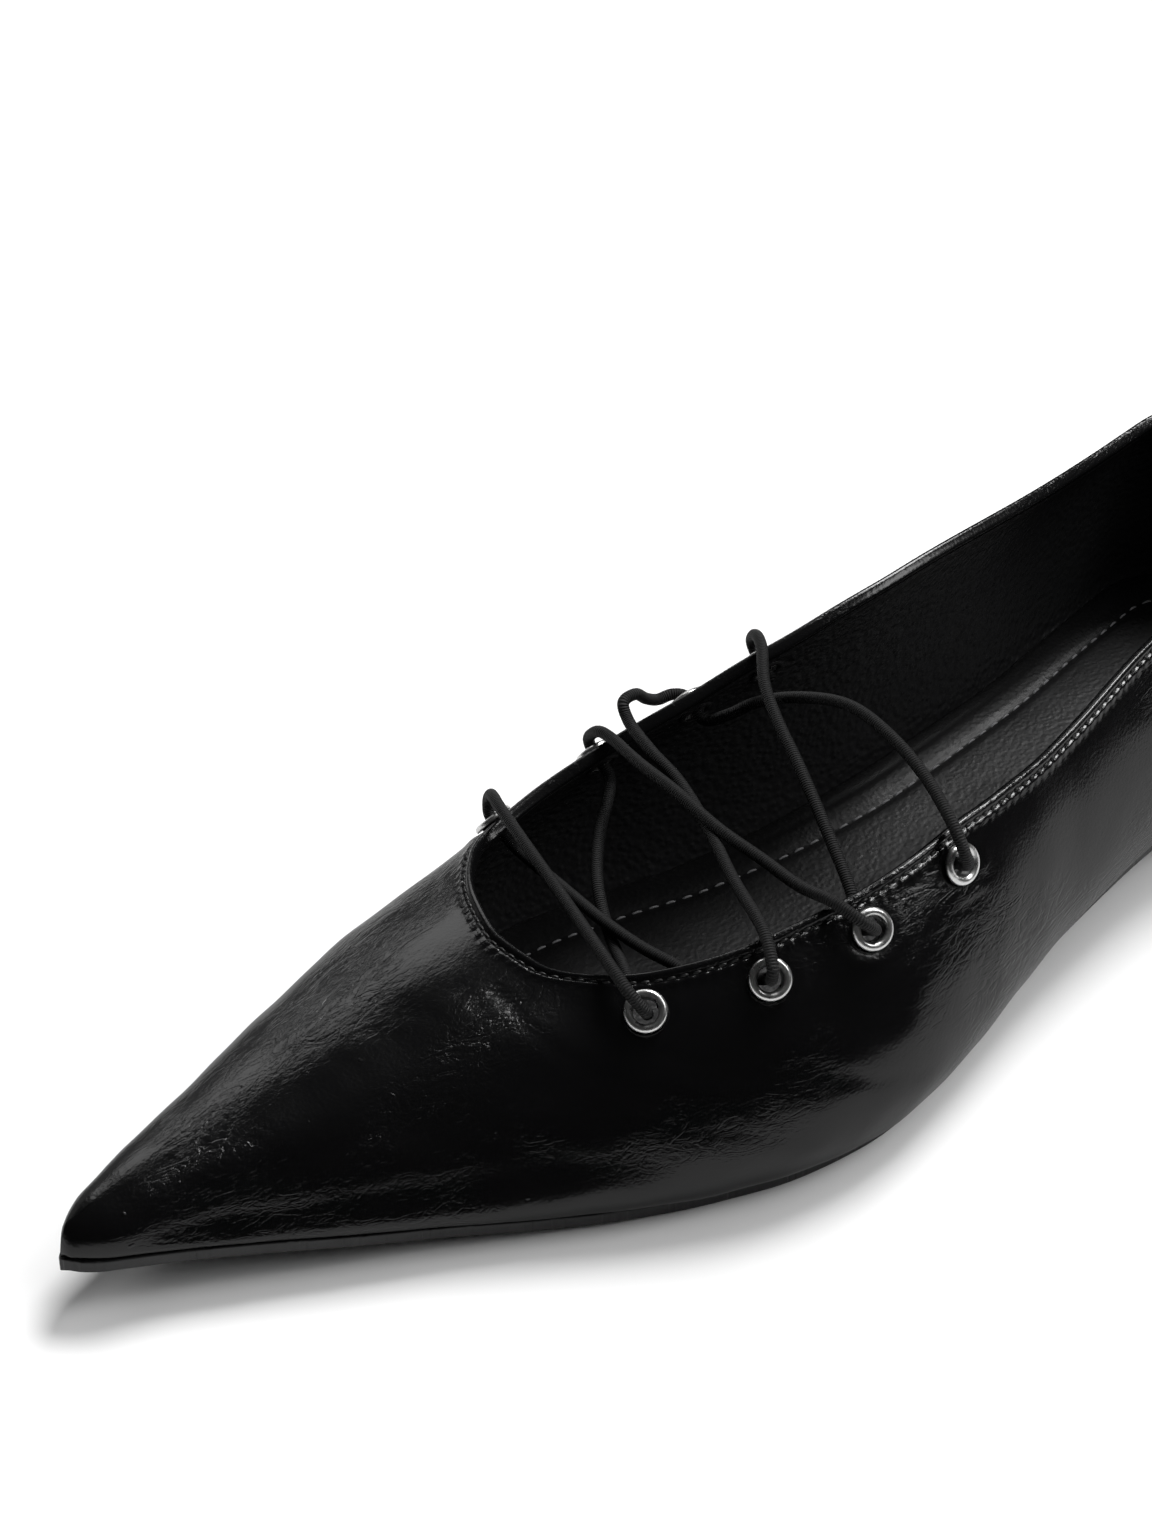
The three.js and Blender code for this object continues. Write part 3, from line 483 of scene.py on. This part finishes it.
# creases pressed into the leather by wear and by lasting. columns: side, way along the collar,
# drop below it, turn from the level in degrees, length, width, height
creases = [
    (-1, 0.556, 8.6, 24, 4.6, 1.1, -0.40), (-1, 0.560, 9.9, 20, 5.4, 1.1, 0.34),
    (-1, 0.562, 11.2, 18, 5.8, 1.1, -0.44), (-1, 0.560, 12.5, 16, 5.2, 1.1, 0.34),
    (-1, 0.556, 13.8, 14, 4.6, 1.1, -0.34), (-1, 0.548, 17.5, 30, 5.0, 1.6, -0.14),
    (-1, 0.150, 6.5, 10, 7.0, 1.3, -0.16), (-1, 0.130, 8.5, 18, 9.0, 1.2, -0.18),
    (-1, 0.165, 10.5, 6, 8.0, 1.4, -0.14), (-1, 0.110, 12.0, 22, 10.0, 1.5, -0.14),
    (-1, 0.200, 12.5, 4, 13.0, 1.6, -0.13), (-1, 0.240, 15.0, -4, 12.0, 1.5, -0.13),
    (-1, 0.270, 17.5, -6, 15.0, 1.8, -0.12), (-1, 0.330, 16.0, -8, 13.0, 1.6, -0.13),
    (-1, 0.350, 19.5, -4, 15.0, 2.0, -0.13), (-1, 0.310, 22.0, 4, 14.0, 1.8, -0.10),
    (-1, 0.420, 24.0, -12, 16.0, 2.2, -0.12), (-1, 0.450, 29.0, -14, 20.0, 2.6, -0.12),
    (-1, 0.480, 33.0, -12, 22.0, 2.6, -0.10), (-1, 0.390, 33.0, -6, 20.0, 2.6, -0.10),
    (-1, 0.060, 20.0, 30, 14.0, 1.6, -0.12), (-1, 0.050, 26.0, 25, 12.0, 1.5, -0.10),
    (-1, 0.070, 34.0, 20, 14.0, 1.8, -0.10), (1, 0.060, 12.0, -30, 12.0, 1.6, -0.10),
    (1, 0.090, 18.0, -20, 14.0, 1.8, -0.10), (1, 0.300, 18.0, 8, 14.0, 1.8, -0.12),
    (1, 0.380, 24.0, 10, 16.0, 2.0, -0.12), (1, 0.440, 20.0, 14, 14.0, 1.8, -0.12),
]
skin_rows = slice(2, 2 + upper_rows)


def eased(value, start, end):
    """0 at start, 1 at end, and a smooth step between."""
    q = np.clip((value - start) / (end - start), 0, 1)
    return q * q * (3 - 2 * q)


# the side of the toe that faces outward is pulled in above the sole's edge, so that it leans
# over from low down
station, above = upper_grid[..., 0], upper_grid[..., 2] - feather_height(upper_grid[..., 0])
share = above / (last(station / length)[7] * instep)
pulled = eased(station, 6, 24) * (1 - eased(station, 64, 98)) * eased(share, 0.08, 0.38)
pulled *= (1 - eased(share, 0.66, 1.0)) * eased(upper_uv[:-1, :-1, 1], 5, 20)
pulled[len(ring_way):] = 0
upper_grid[..., 1] += 2.6 * pulled
leather = upper_grid[:, skin_rows]
round_shoe = np.concatenate([leather[-1:], leather, leather[:1]])
out_of = unit(np.cross(np.gradient(round_shoe, axis=0)[1:-1], np.gradient(leather, axis=1)))
out_of *= np.sign(np.median(out_of[125, :, 1])) * -1
lifted = np.zeros(leather.shape[:2])
for side, way, drop, turn, long, wide, height in creases:
    middle = spoke_point(side, way, drop, 0)
    level = unit(spoke_point(side, way + 0.01, drop, 0) - spoke_point(side, way - 0.01, drop, 0))
    rise = unit(spoke_point(side, way, drop - 1, 0) - spoke_point(side, way, drop + 1, 0))
    angle = math.radians(turn)
    away = leather - middle
    along = away @ (level * math.cos(angle) + rise * math.sin(angle))
    across = away @ (rise * math.cos(angle) - level * math.sin(angle))
    across = across + 0.35 * np.sin(along * 0.9 + drop)
    shape = np.exp(-(2 * along / long) ** 4 - (1.7 * across / wide) ** 2)
    lifted += height * shape * (np.linalg.norm(away, axis=-1) < long)
for centre, _ in seats.values():
    far = np.linalg.norm(leather - centre, axis=-1)
    lifted += 0.22 * np.exp(-((far - 5.2) / 0.9) ** 2) - 0.25 * np.exp(-(far / 3.6) ** 4)
# the skin lies a little uneven over the last, and is pulled in between the lasting folds
station = leather[..., 0]
slack = 1 - 0.7 * eased(station, 120, 170)
uneven = 0.10 * np.sin(station * 0.21 + leather[..., 2] * 0.35) * np.sin(leather[..., 2] * 0.22)
lifted += slack * (uneven + 0.04 * np.sin(station * 0.55 + 1.7 * np.sin(leather[..., 2] * 0.3)))
calm = np.linspace(0, 1, upper_rows)
lifted *= np.clip(calm / 0.06, 0, 1) * np.clip((1 - calm) / 0.05, 0, 1)
upper_grid[:, skin_rows] += out_of * lifted[..., None]
upper = skin("leather_upper", upper_grid, ring=True, loop=True, uv=upper_uv)

patent, shader, place = finish_of(
    "glossy_crinkled_leather", (0.0022, 0.0022, 0.0024), 0.18,
    Specular_IOR_Level=0.41)
run, drop = uv_run(place)
worn = place.stretched(1.0, 1.6, 1.6).noise(24, 2).rise(0.42, 0.66)
fine = place.stretched(0.42, 1.0, 1.0)
wrinkle = fine.noise(620, 4, 1.2)
wrinkle = (wrinkle - 0.5).maths("ABSOLUTE")
fold_lines = (1.0 - wrinkle * 9.0).maths("MAXIMUM", 0.0)
pores = place.cells(1500)
long_fold = place.stretched(0.35, 1.0, 1.0).noise(230, 3, 1.5)
long_fold = (1.0 - (long_fold - 0.5).maths("ABSOLUTE") * 14.0).maths("MAXIMUM", 0.0)
rising = place.node("ShaderNodeSeparateXYZ", {"Vector": place}, out=2)
pimple = (1.0 - place.cells(260) * 9.0).maths("MAXIMUM", 0.0)
rare = place.noise(60, 1).rise(0.66, 0.70)
pucker = (run * (2 * math.pi / 2.05) + place.noise(300, 1) * 3.0).maths("SINE")
by_seam = drop.rise(1.7, 2.3) * (1.0 - drop.rise(2.7, 4.2))
height = (
    rising * -260.0
    - fold_lines * (worn * 0.034 + 0.002)
    - long_fold * worn * 0.05
    + place.noise(190, 3, 0.6) * 0.030
    + place.noise(950, 3, 0.8) * 0.022
    + pores * 0.014
    + pimple * rare * 0.14
    + pucker * by_seam * 0.045
    + place.noise(1300, 2) * by_seam * 0.07
)
relief(height, shader)
wire(place.noise(70, 3) * 0.07 + worn * 0.02 + 0.15, shader, "Roughness")
dressed(upper, patent, "upper_leather", "upper")

pebbled, shader, place = finish_of("pebbled_lining_leather", (0.012, 0.012, 0.0125), 0.34,
                                  Specular_IOR_Level=0.7)
pebble = place.cells(880, "SMOOTH_F1")
relief(pebble * -0.30 + place.noise(420, 3) * 0.20 + place.noise(70, 2) * 0.3, shader)
wire(place.noise(120, 2) * 0.16 + 0.28, shader, "Roughness")
upper.data.materials.append(pebbled)
row_of_face = np.tile(np.arange(upper_grid.shape[1]), len(spokes))
lined = row_of_face >= 2 + upper_rows + fold_outside
upper.data.polygons.foreach_set("material_index", lined.astype(np.int32))
# the eyelets' holes are punched through leather and lining, and their flanges cover the edges
middles = np.empty(3 * len(upper.data.polygons))
upper.data.polygons.foreach_get("center", middles)
middles = middles.reshape(-1, 3) * 1000
punched = np.zeros(len(middles), bool)
for centre, out in seats.values():
    away = middles - on_floor_centre(centre) * 1000
    deep = away @ out
    off_axis = np.linalg.norm(away - deep[:, None] * out, axis=1)
    punched |= (off_axis < hole_cut) & (abs(deep) < 5)
holed = bmesh.new()
holed.from_mesh(upper.data)
holed.faces.ensure_lookup_table()
bmesh.ops.delete(holed, geom=[holed.faces[i] for i in np.flatnonzero(punched)], context="FACES")
holed.to_mesh(upper.data)
holed.free()


# Collar stitching: black thread sunk in the groove under the folded edge, about twelve stitches
# to the inch, all round the foot opening.
def stitches(name, line, out, pitch, share, radius, sink):
    """Separate stitches along a line: each covers that share of the pitch and bows out of its
    needle holes by a sine, its ends sunk into the leather."""
    run = np.concatenate([[0], np.cumsum(np.linalg.norm(np.diff(line, axis=0), axis=1))])
    count = int(run[-1] / pitch)
    q = np.linspace(0, 1, 9)
    bow = np.sin(np.pi * q) ** 0.5
    at = (np.arange(count)[:, None] + share * q) * run[-1] / count
    middle = np.stack([np.interp(at, run, line[:, i]) for i in range(3)], axis=-1)
    normal = unit(np.stack([np.interp(at, run, out[:, i]) for i in range(3)], axis=-1))
    middle = middle + normal * ((bow - 1) * sink)[:, None]
    side = unit(np.cross(np.gradient(middle, axis=1), normal))
    angle = np.linspace(0, 2 * np.pi, 8, endpoint=False)[:, None]
    spoke = side[:, :, None] * np.cos(angle) + normal[:, :, None] * np.sin(angle)
    points = middle[:, :, None] + spoke * (radius * (0.45 + 0.55 * bow))[:, None, None]
    points = points.reshape(-1, 3)
    ring = np.arange(64).reshape(8, 8)
    ahead = np.roll(ring, -1, axis=1)
    sides = np.stack([ring, ahead, ahead + 8, ring + 8], axis=-1).reshape(-1, 4)
    ends = np.stack([np.arange(7, -1, -1), 64 + np.arange(8)])
    each = 72 * np.arange(count)[:, None, None]
    faces = (sides + each).reshape(-1, 4).tolist() + (ends + each).reshape(-1, 8).tolist()
    mesh = bpy.data.meshes.new(name)
    mesh.from_pydata(on_floor_centre(points).tolist(), [], faces)
    mesh.polygons.foreach_set("use_smooth", [True] * len(faces))
    made = bpy.data.objects.new(name, mesh)
    bpy.context.scene.collection.objects.link(made)
    return made


seam_line = np.array([spoke_point(s, w, 1.7, 0.0) for s, w in [*spokes, spokes[0]]])
seam_over = np.array([spoke_point(s, w, 1.7, -1.0) for s, w in [*spokes, spokes[0]]])
collar_stitching = stitches("collar_stitching", seam_line, unit(seam_over - seam_line),
                            2.05, 0.72, 0.26, 0.25)
thread, shader, place = finish_of("black_waxed_thread", (0.008, 0.008, 0.008), 0.38)
relief(place.noise(3200, 2) * 0.08, shader)
dressed(collar_stitching, thread, "upper_leather")


# Outsole: a thin black sheet of rubber cemented under the lasted upper. It shows as a fine dark
# edge along the toe, tucks under at the ball and rises through the arch to the heel.
def outline_at(x, depth, h):
    """Plan outline inset by depth, h above the feather line: station, outer y and inner y."""
    station = inset_station(x, depth)
    up = up_at(station, h) if h > 0 else np.zeros_like(station)
    outer = last_point(station, up, -1, depth)
    inner = last_point(station, up, 1, depth)
    return outer[..., 0], outer[..., 1], inner[..., 1]


def crowded(start, end, count):
    q = np.linspace(0, 1, count)
    return start + (end - start) * (0.5 - 0.5 * np.cos(np.pi * q)) ** 1.15


lower_round, upper_round, stands_out, tip_round, welt_line = 0.7, 0.3, 0.5, 3.0, 0.9
x, low, high = outline_at(crowded(0.15, length - 0.1, 260), -stands_out, 0)
from_tip = np.clip((x - x[0]) / tip_round, 0, 1)
middle, narrow = (low + high) / 2, np.sqrt(1 - (1 - from_tip) ** 2) * 0.94 + 0.06
low, high = middle + (low - middle) * narrow, middle + (high - middle) * narrow
x = x + 0.8 * np.maximum(1 - (x - x[0]) / 6, 0) ** 2
top = feather_height(x) - gap
# the section runs down the outer edge, across below, up the inner edge and back over the top
x, low, high, top = (v[:, None] for v in (x, low, high, top))
wide, foot = high - low, top - sole_thickness
below, above = np.minimum(lower_round, wide / 4), np.minimum(upper_round, wide / 8)
turn, q = np.linspace(0, np.pi / 2, 5), np.linspace(0, 1, 9)[1:-1]
fall = turn[::-1]
inward = np.hstack([above * (1 - np.cos(fall)), 0 * x, below * (1 - np.cos(turn))])
edge = np.hstack([top - above * (1 - np.sin(fall)), top - welt_line,
                  foot + below * (1 - np.sin(turn))])
across = np.hstack([low + inward, low + below + (wide - 2 * below) * q,
                    (high - inward)[:, ::-1], high - above - (wide - 2 * above) * q])
upright = np.hstack([edge, foot + 0 * q, edge[:, ::-1], top + 0 * q])
sole_grid = np.stack(np.broadcast_arrays(x, across, upright), axis=-1)
outsole = skin("rubber_sole", sole_grid, ring=True, caps=True)
outsole.data.set_sharp_from_angle(angle=math.radians(50))
rubber, shader, place = finish_of("satin_black_rubber", (0.011, 0.011, 0.0115), 0.42)
tread = place.stretched(1, 1, 0.02).cells(420)
relief(tread.rise(0.25, 0.4) * 0.12 + place.noise(900, 3) * 0.05, shader)
wire(place.noise(160, 3) * 0.24 + 0.32, shader, "Roughness")
dressed(outsole, rubber, "sole_rubber", "outsole")


# Heel: a low block under the heel seat, of the same rubber, with a wearing piece at its foot
# that a fine line sets off.
heel_breast, heel_inset, heel_taper = 216.0, 0.4, 1.4
x = crowded(heel_breast, length - 0.1, 90)
# columns: share of the way down, how far the side is drawn in
heel_steps = [(0, 0), (0.02, 0), (0.25, 0), (0.52, 0), (0.54, 0), (0.56, 0.25), (0.58, 0),
              (0.60, 0), (0.8, 0), (0.94, 0), (1.0, 0.25)]
rims = [(share, outline_at(x, heel_inset + heel_taper * share + drawn_in, 0))
        for share, drawn_in in heel_steps]
head = feather_height(rims[0][1][0]) - sole_thickness - 2 * gap
outer_side = [[r[0], r[1], head * (1 - share)] for share, r in rims]
inner_side = [[r[0], r[2], head * (1 - share)] for share, r in rims[::-1]]
heel_grid = np.moveaxis(np.array(outer_side + inner_side), -1, 0)
heel = skin("block_heel", heel_grid, ring=True, caps=True)
heel.data.set_sharp_from_angle(angle=math.radians(40))
dressed(heel, rubber, "heel_rubber", "heel")


# Insole: a padded footbed covered in fine black leather, stitched round a finger's width inside
# its edge, with a soft pad that rises under the arch on the inner side.
insole_thick, insole_crown, insole_start, ease, arch_pad = 2.2, 0.7, 11.0, 0.6, 3.2
lift, clear, seam_in = wall + gap, wall + gap + ease, 8.0


def footbed(x, q):
    """Top of the footbed at station x and share q across, -1 outer edge to 1 inner edge: a
    shallow crown, the arch pad as a bell along the foot, a sunk seam and rounded edges."""
    bottom, _, _ = outline_at(x, clear, lift)
    _, low, high = outline_at(x, clear, lift + insole_thick)
    half = (high - low) / 2
    y = (high + low) / 2 + q * half
    bell = arch_pad * np.exp(-((bottom / length - 0.62) / 0.13) ** 2)
    pad = 1.4 * bell * np.maximum(q - 0.25, 0) ** 1.5
    from_edge = (1 - abs(q)) * half
    seam = 0.42 * np.exp(-((from_edge - seam_in) / 0.9) ** 2)
    puff = 0.35 * np.exp(-((from_edge - seam_in * 0.5) / 2.2) ** 2)
    round_off = 0.7 * np.clip(1 - from_edge / 1.6, 0, 1) ** 2
    rib = np.clip(bell / arch_pad, 0, 1) * np.clip(q, 0, 1)
    piping = 0.30 * np.exp(-((from_edge - 3.2) / 0.6) ** 2) * rib
    z = feather_height(bottom) + lift + insole_thick + insole_crown * (1 - q * q) + pad
    z = z - seam + 0.8 * puff - round_off - piping
    return np.stack(np.broadcast_arrays(bottom, y, z), axis=-1)


x = crowded(insole_start, length - 2 * ease, 320)
q = np.sin(np.linspace(-np.pi / 2, np.pi / 2, 90)) * 0.35 + np.linspace(-1, 1, 90) * 0.65
surface = footbed(x[:, None], q[None, :])
bottom, low, high = outline_at(x, clear, lift)
level = feather_height(bottom) + lift
under = np.stack([
    np.stack([bottom, edge, level + rise], axis=-1)
    for edge, rise in ((high, 1.2), (high, 0.3), ((low + high) / 2, 0.0), (low, 0.3), (low, 1.2))
], axis=1)
insole = skin("padded_footbed", np.concatenate([surface, under], axis=1), ring=True, caps=True)
calf, shader, place = finish_of("fine_footbed_leather", (0.0045, 0.0045, 0.0047), 0.36,
                               Specular_IOR_Level=0.36)
grain = place.cells(1250, "SMOOTH_F1")
soft = place.stretched(1, 1.5, 1).noise(95, 3)
relief(grain * -0.07 + place.noise(1400, 2) * 0.035 + soft * 0.10, shader)
wire(place.noise(110, 3) * 0.2 + 0.34, shader, "Roughness")
dressed(insole, calf, "insole_leather", "insole")

seam_x = crowded(insole_start + 9, length - 10.5, 400)
_, low, high = outline_at(seam_x, clear, lift + insole_thick)
share = np.clip(1 - seam_in / ((high - low) / 2), 0.0, 1)
one = np.clip((seam_x - seam_x[0]) / 14, 0, 1)
two = np.clip((seam_x[-1] - seam_x) / 16, 0, 1)
share = share * np.sqrt(1 - (1 - one) ** 2) * np.sqrt(1 - (1 - two) ** 2)
there, back = footbed(seam_x, share), footbed(seam_x[::-1], -share[::-1])
seam_line = np.concatenate([there, back]) + [0, 0, 0.12]
insole_stitching = stitches("insole_stitching", seam_line, np.tile([0.0, 0.0, 1.0], (800, 1)),
                            3.1, 0.66, 0.22, 0.3)
pale_thread, shader, place = finish_of("pale_grey_thread", (0.16, 0.16, 0.165), 0.55)
relief(place.noise(3000, 2) * 0.08, shader)
dressed(insole_stitching, pale_thread, "insole_leather")


# Eyelets: eight nickelled brass rings, four a side, set through the wall with a domed front. A
# round of lining leather is drawn over the back of each barrel.
back, front = -(wall + 0.1), 0.4
bead = np.linspace(0, np.pi, 13)
domed = [[2.78 - 0.72 * math.cos(v), front + 0.85 * math.sin(v) ** 0.8] for v in bead[::-1]]
ring_profile = np.array([[2.03, back], [2.45, back], [2.5, front - 0.1], [3.42, front - 0.12],
                         *domed, [2.03, front - 0.3], [2.03, -0.5 * wall]])
washer_profile = np.array([[2.62 - 0.56 * math.cos(v), back - 0.12 - 0.26 * math.sin(v)]
                           for v in np.linspace(0, 2 * np.pi, 16, endpoint=False)])


def turned(name, centre, out, profile):
    """A ring turned about its own axis from a closed profile of radius and height."""
    angle = np.linspace(0, 2 * np.pi, 48, endpoint=False)
    side = unit(np.cross(out, [0.0, 0.0, 1.0]))
    up = np.cross(out, side)
    spoke = side[None] * np.cos(angle)[:, None] + up[None] * np.sin(angle)[:, None]
    grid = centre + spoke[:, None] * profile[None, :, :1] + out * profile[None, :, 1:]
    return skin(name, grid, ring=True, loop=True)


nickel, shader, place = finish_of("bright_nickel", (0.80, 0.80, 0.79), 0.25, Metallic=1.0)
relief(place.noise(1800, 2) * 0.03, shader)
wire(place.noise(900, 3) * 0.2 + 0.2, shader, "Roughness")
for (side, number), (centre, out) in seats.items():
    name = f"eyelet_{'outer' if side < 0 else 'inner'}_{number}"
    ring = turned(name.replace("eyelet", "ring"), centre, out, ring_profile)
    dressed(ring, nickel, "eyelet_metal", name)
    washer = turned(name.replace("eyelet", "lining_round"), centre, out, washer_profile)
    dressed(washer, pebbled, "upper_leather")


# Floor and light: a seamless white table and backdrop under a soft light from high behind the
# heel and a softer one from the outer side. The gloss picks up three small panels, a dimmed
# table and near darkness all round.
floor_mesh = bpy.data.meshes.new("floor")
floor_mesh.from_pydata([(-6, -6, 0), (6, -6, 0), (6, 6, 0), (-6, 6, 0)], [], [(0, 1, 2, 3)])
floor = bpy.data.objects.new("floor", floor_mesh)
bpy.context.scene.collection.objects.link(floor)
white, shader, place = finish_of("white_table", (0.9, 0.9, 0.9), 0.6, Specular_IOR_Level=0.2)
floor.data.materials.append(white)
# The table is 0.9 grey where it is seen straight on, but painted darker wherever it is seen in a
# reflection: painted shade in the reflections of the gloss.
mirrored = place.node("ShaderNodeLightPath", out="Is Glossy Ray")
table_tone_dimmed_in_gloss = 0.9 - mirrored * 0.3
wire(table_tone_dimmed_in_gloss.node("ShaderNodeCombineColor", {0: table_tone_dimmed_in_gloss, 1: table_tone_dimmed_in_gloss, 2: table_tone_dimmed_in_gloss}), shader, "Base Color")

world = bpy.data.worlds.new("studio")
bpy.context.scene.world = world
world.use_nodes = True
dark = world.node_tree.nodes["Background"]
dark.inputs["Color"].default_value = (1, 1, 1, 1)
seen = Field(world.node_tree.nodes.new("ShaderNodeLightPath").outputs["Is Camera Ray"])
wire(seen * 0.88 + 0.02, dark, "Strength")


def panel(name, place, towards, wide, tall, watts):
    """A soft rectangular light at a place, aimed at a point."""
    light = bpy.data.objects.new(name, bpy.data.lights.new(name, "AREA"))
    light.data.shape = "RECTANGLE"
    light.data.size, light.data.size_y, light.data.energy = wide, tall, watts
    light.location = place
    aim = Vector(towards) - Vector(place)
    light.rotation_euler = aim.to_track_quat("-Z", "Y").to_euler()
    bpy.context.scene.collection.objects.link(light)


def far_light(name, towards, energy, spread):
    """An even light from far off, that shines along a direction with that spread in degrees."""
    light = bpy.data.objects.new(name, bpy.data.lights.new(name, "SUN"))
    light.data.energy, light.data.angle = energy, math.radians(spread)
    light.rotation_euler = Vector(towards).to_track_quat("-Z", "Y").to_euler()
    bpy.context.scene.collection.objects.link(light)
    return light


far_light("key", (-1.05, -0.30, -1.85), 3.0, 24)
far_light("fill", (-0.55, 0.52, -0.95), 1.5, 56).visible_glossy = False
panel("back", (0.5, 1.6, 1.3), (0, 0.1, 0), 1.2, 0.8, 6)
panel("far_side", (-0.1, 1.9, 0.5), (0, 0, 0), 1.6, 0.8, 0.9)
panel("near_side", (1.2, -1.05, 1.65), (0, 0, 0), 0.7, 0.6, 8)
bpy.context.scene.view_settings.view_transform = "Standard"
